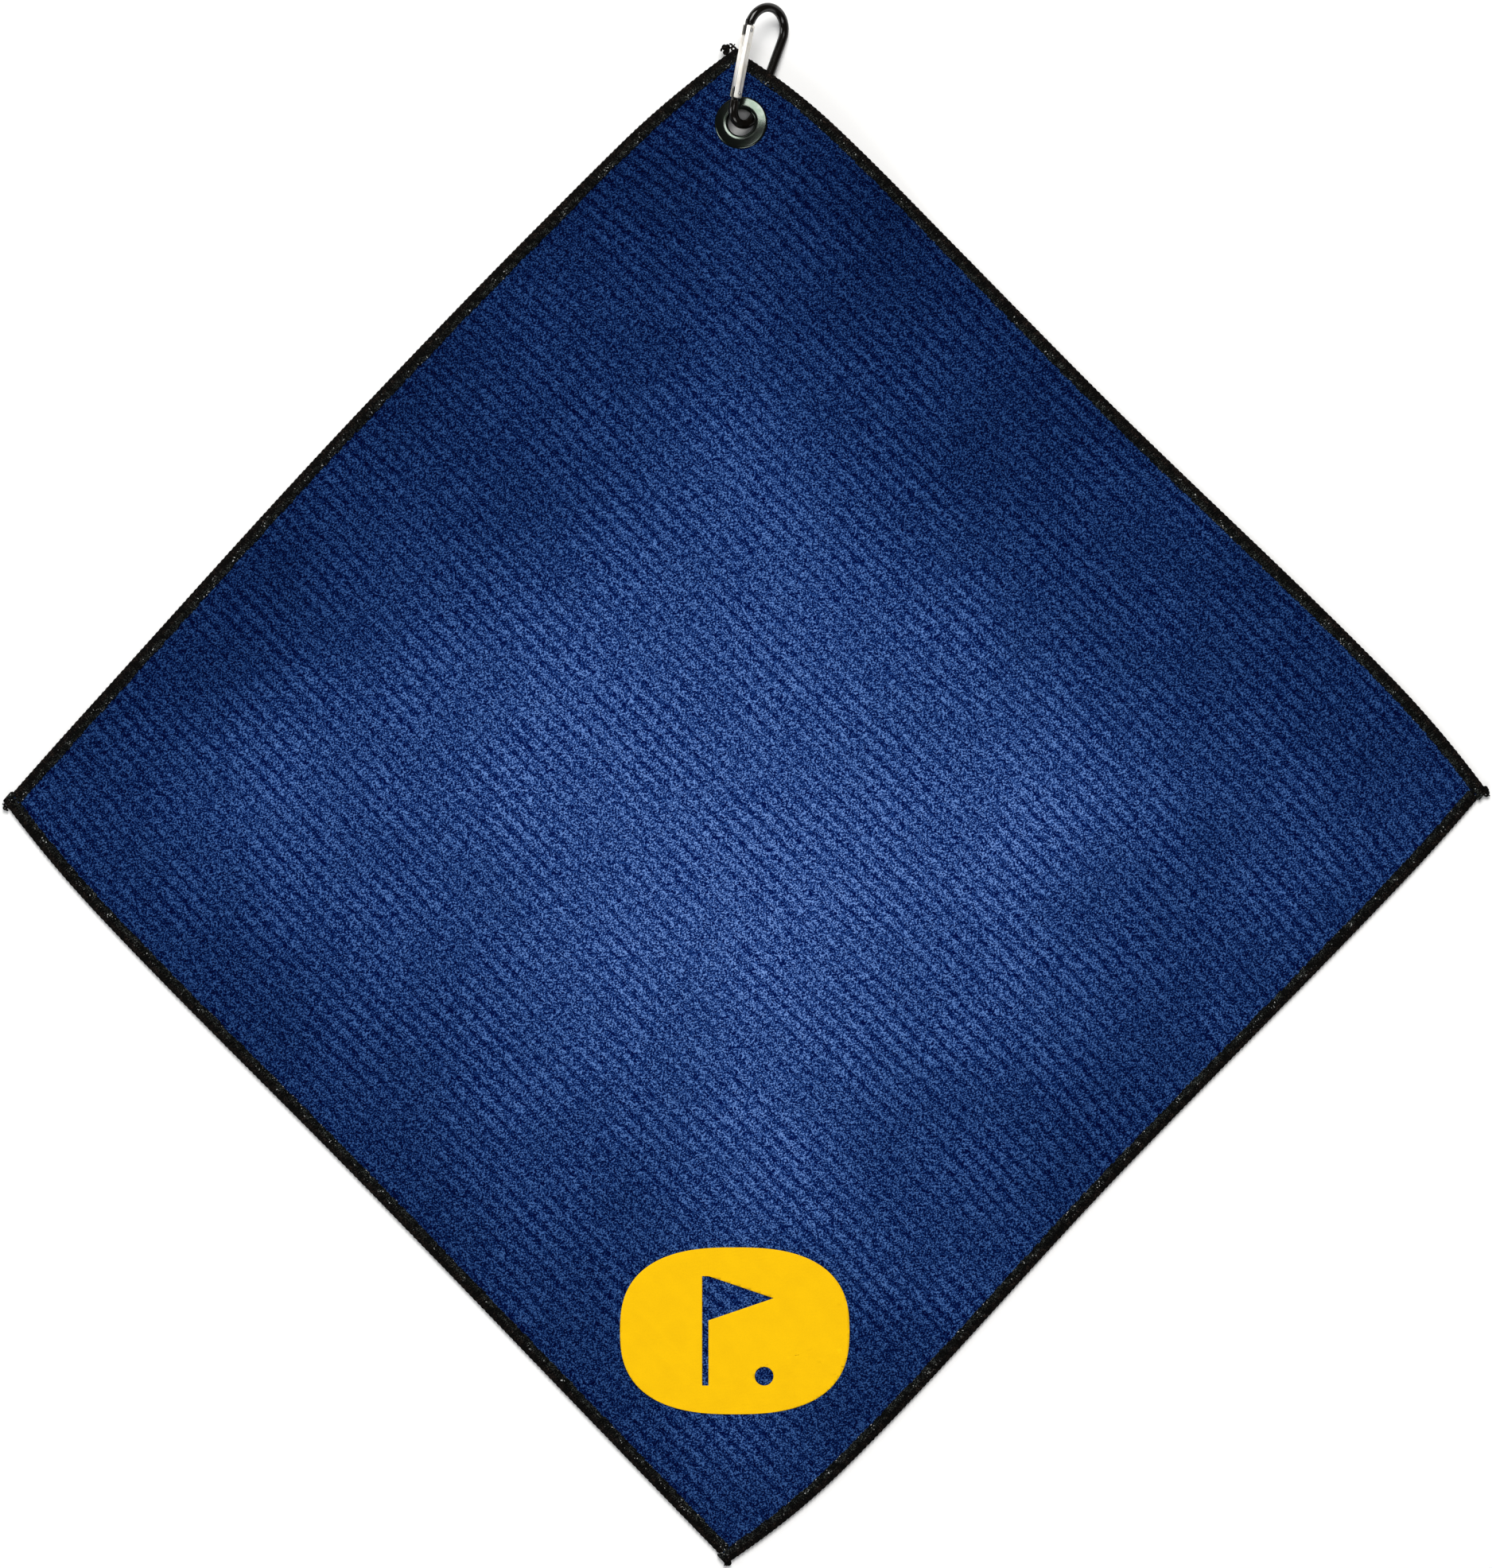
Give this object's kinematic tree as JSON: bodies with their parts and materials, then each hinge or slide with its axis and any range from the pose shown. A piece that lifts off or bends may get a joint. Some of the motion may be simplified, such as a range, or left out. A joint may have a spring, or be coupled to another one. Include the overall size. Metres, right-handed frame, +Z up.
{
  "type": "golf towel",
  "caption": "Square waffle golf towel laid flat on its diagonal, with a sewn hem, a printed badge, an eyelet at one corner and a spring-gate carabiner clipped through it.",
  "frame": {"origin": "centre of the whole object's footprint, on the surface that the towel lies on", "axes": "+Z up from the surface, +Y towards the corner with the eyelet, +X to the right of it"},
  "size_m": [0.5704, 0.5989, 0.0166],
  "materials": {
    "navy_cloth": "navy waffle-weave microfibre",
    "black_thread": "black overlock thread",
    "black_nickel": "black nickel plate",
    "yellow_print": "flat yellow transfer print",
    "black_anodised": "black anodised",
    "bright_aluminium": "bright, fine machined",
    "spring_steel": "bright steel"
  },
  "bodies": {
    "towel": {"towel_cloth": "navy_cloth", "hem_upper_right": "black_thread", "hem_lower_right": "black_thread", "hem_lower_left": "black_thread", "hem_upper_left": "black_thread", "eyelet": "black_nickel", "eyelet_washer": "black_nickel", "printed_badge": "yellow_print"},
    "carabiner": {"carabiner_body": "black_anodised"},
    "gate": {"carabiner_gate": "bright_aluminium", "hinge_pin": "spring_steel", "latch_pin": "spring_steel", "gate_spring": "spring_steel"},
    "plunger": {"gate_plunger": "spring_steel"}
  },
  "joints": [
    {"name": "carabiner_swing", "type": "hinge", "parent": "towel", "child": "carabiner", "pos_m": [-0.00167, 0.25312, 0.00812], "axis": [0, 0, 1], "range_deg": [-17, 5]},
    {"name": "gate_hinge", "type": "hinge", "parent": "carabiner", "child": "gate", "pos_m": [-0.00334, 0.2647, 0.01247], "axis": [-0.6578, 0.18, -0.7314], "range_deg": [0, 20], "stiffness_Nm_per_rad": 0.08, "springref_deg": -28.65},
    {"name": "plunger_slide", "type": "slide", "parent": "gate", "child": "plunger", "axis": [0.1849, 0.9799, 0.0748], "range_m": [0, 0.00046]}
  ],
  "couplings": [
    {"joint": "plunger_slide", "follows": "gate_hinge", "m_per_rad": 0.00131}
  ]
}
